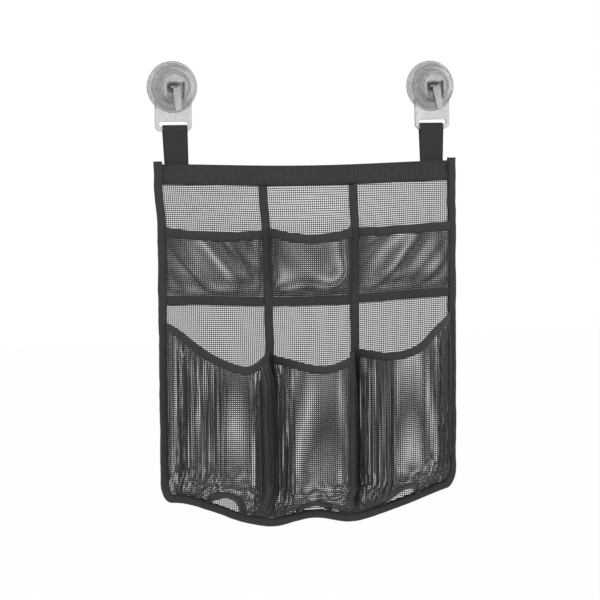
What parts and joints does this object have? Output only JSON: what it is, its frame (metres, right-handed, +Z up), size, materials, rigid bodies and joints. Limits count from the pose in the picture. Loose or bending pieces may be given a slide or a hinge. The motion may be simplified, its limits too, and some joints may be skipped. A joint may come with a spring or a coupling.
{
  "type": "suction shower caddy",
  "caption": "Hanging see-through mesh shower organiser with shallow and tall pockets, held on a smooth wall by two lever-locked suction cups and webbing straps.",
  "frame": {"origin": "on the wall plane, midway between the axes of the two suction cups", "axes": "+X to the right seen from the front, +Y into the wall, +Z up"},
  "size_m": [0.3969, 0.064, 0.5815],
  "materials": {
    "clear_plastic": "clear moulded plastic, glossy",
    "soft_vinyl": "clear soft vinyl, glossy",
    "steel": "plain bright steel",
    "black_net": "black polyester net",
    "black_tape": "black woven tape and webbing, ribbed"
  },
  "bodies": {
    "wall_cups": {"left_suction_pad": "soft_vinyl", "left_strap_plate": "clear_plastic", "right_suction_pad": "soft_vinyl", "right_strap_plate": "clear_plastic"},
    "left_cap": {"left_locking_cap": "clear_plastic"},
    "left_stud": {"left_pull_stud": "clear_plastic", "left_lever_pin": "steel"},
    "left_lever": {"left_lock_lever": "clear_plastic"},
    "right_cap": {"right_locking_cap": "clear_plastic"},
    "right_stud": {"right_pull_stud": "clear_plastic", "right_lever_pin": "steel"},
    "right_lever": {"right_lock_lever": "clear_plastic"},
    "bag": {"left_strap": "black_tape", "right_strap": "black_tape", "back_net": "black_net", "top_band_front": "black_tape", "top_band_rear": "black_tape", "upper_pocket_net": "black_net", "upper_pocket_binding": "black_tape", "upper_pocket_seam_tape": "black_tape", "left_tall_pocket_net": "black_net", "left_tall_pocket_binding": "black_tape", "left_neck_hole_binding": "black_tape", "middle_tall_pocket_net": "black_net", "middle_tall_pocket_binding": "black_tape", "middle_neck_hole_binding": "black_tape", "right_tall_pocket_net": "black_net", "right_tall_pocket_binding": "black_tape", "right_neck_hole_binding": "black_tape", "bottom_binding": "black_tape", "left_side_binding": "black_tape", "right_side_binding": "black_tape", "left_divider_tape": "black_tape", "right_divider_tape": "black_tape"}
  },
  "joints": [
    {"name": "left_cap_turn", "type": "hinge", "parent": "wall_cups", "child": "left_cap", "pos_m": [-0.1667, -0.015, 0], "axis": [0, 1, 0], "continuous": true},
    {"name": "left_stud_draw", "type": "slide", "parent": "left_cap", "child": "left_stud", "axis": [0, 1, 0], "range_m": [0, 0.0025], "deforming": ["left_suction_pad"]},
    {"name": "left_lever_flip", "type": "hinge", "parent": "left_stud", "child": "left_lever", "pos_m": [-0.1667, -0.0172, 0], "axis": [-1, 0, 0], "range_deg": [0, 90]},
    {"name": "right_cap_turn", "type": "hinge", "parent": "wall_cups", "child": "right_cap", "pos_m": [0.1667, -0.015, 0], "axis": [0, 1, 0], "continuous": true},
    {"name": "right_stud_draw", "type": "slide", "parent": "right_cap", "child": "right_stud", "axis": [0, 1, 0], "range_m": [0, 0.0025], "deforming": ["right_suction_pad"]},
    {"name": "right_lever_flip", "type": "hinge", "parent": "right_stud", "child": "right_lever", "pos_m": [0.1667, -0.0172, 0], "axis": [-0.9976, 0, -0.0698], "range_deg": [0, 90]},
    {"name": "bag_swing", "type": "hinge", "parent": "wall_cups", "child": "bag", "pos_m": [0, -0.0054, -0.0513], "axis": [-1, 0, 0], "range_deg": [0, 90]}
  ],
  "couplings": [
    {"joint": "left_stud_draw", "follows": "left_lever_flip", "m_per_rad": 0.00159},
    {"joint": "right_stud_draw", "follows": "right_lever_flip", "m_per_rad": 0.00159}
  ]
}
